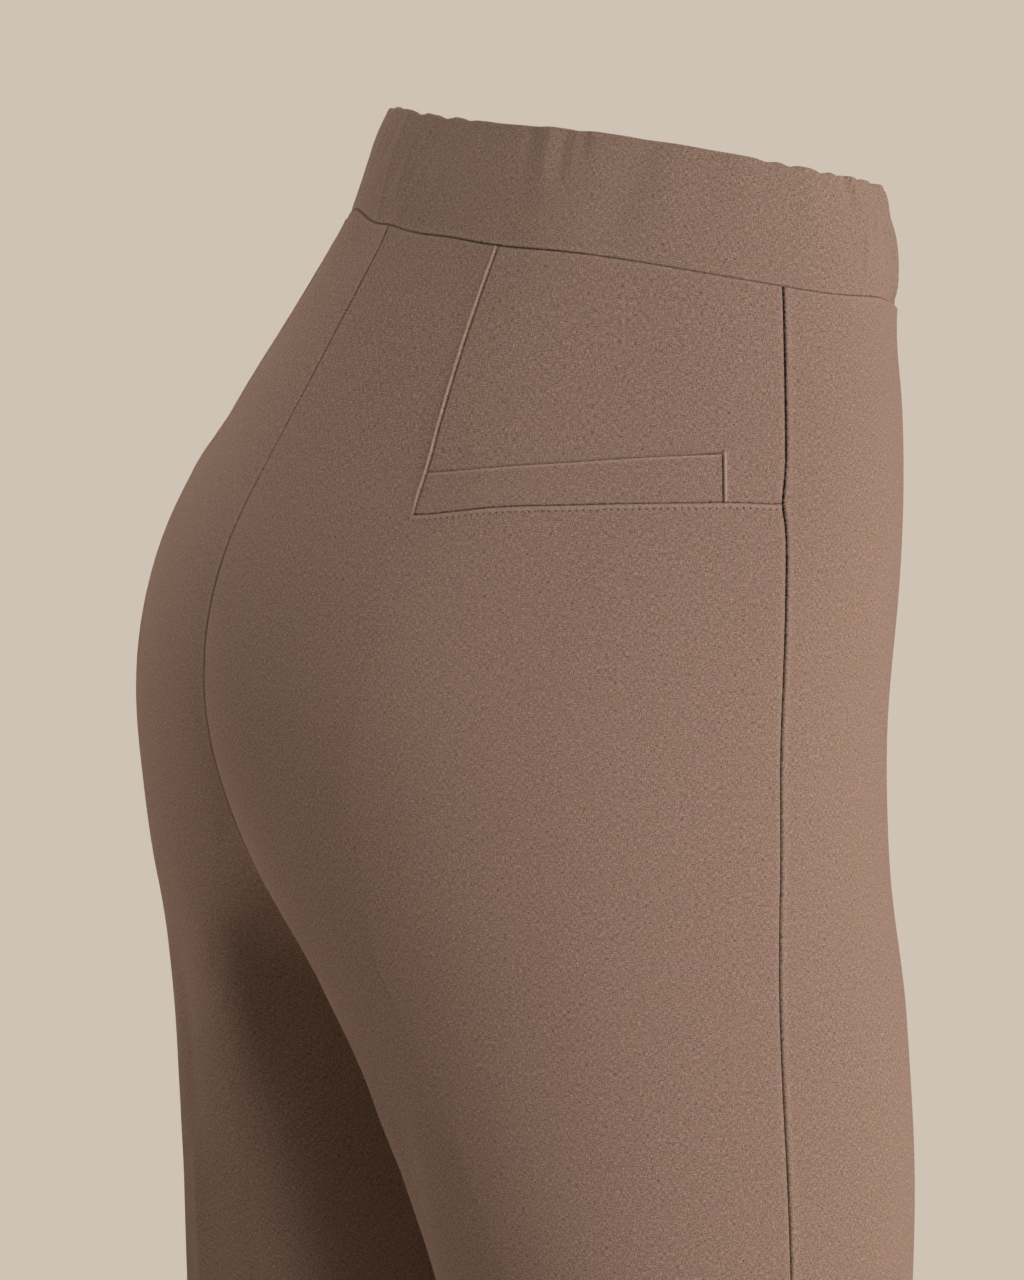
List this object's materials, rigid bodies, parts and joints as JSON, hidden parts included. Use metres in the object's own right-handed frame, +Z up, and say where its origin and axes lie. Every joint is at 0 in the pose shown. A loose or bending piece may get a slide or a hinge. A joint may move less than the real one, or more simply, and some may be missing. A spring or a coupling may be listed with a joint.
{
  "type": "flared trousers",
  "caption": "High waist pull-on flared trousers in stretch crepe, hollow as worn, with a wide elasticated band, side back yokes, pocket welts and legs that widen to the hem.",
  "frame": {"origin": "middle of the waist opening, level with the top edge of the waistband at the sides", "axes": "+Z up out of the waist opening, the front of the garment faces -Y, its back +Y, and the wearer's left is +X"},
  "size_m": [0.396, 0.2509, 1.075],
  "materials": {
    "crepe": "matt stretch crepe with a fine grain"
  },
  "bodies": {
    "root": {"waistband": "crepe", "back_right": "crepe", "yoke_right": "crepe", "welt_right": "crepe", "front_right": "crepe", "back_left": "crepe", "yoke_left": "crepe", "welt_left": "crepe", "front_left": "crepe"}
  },
  "joints": []
}
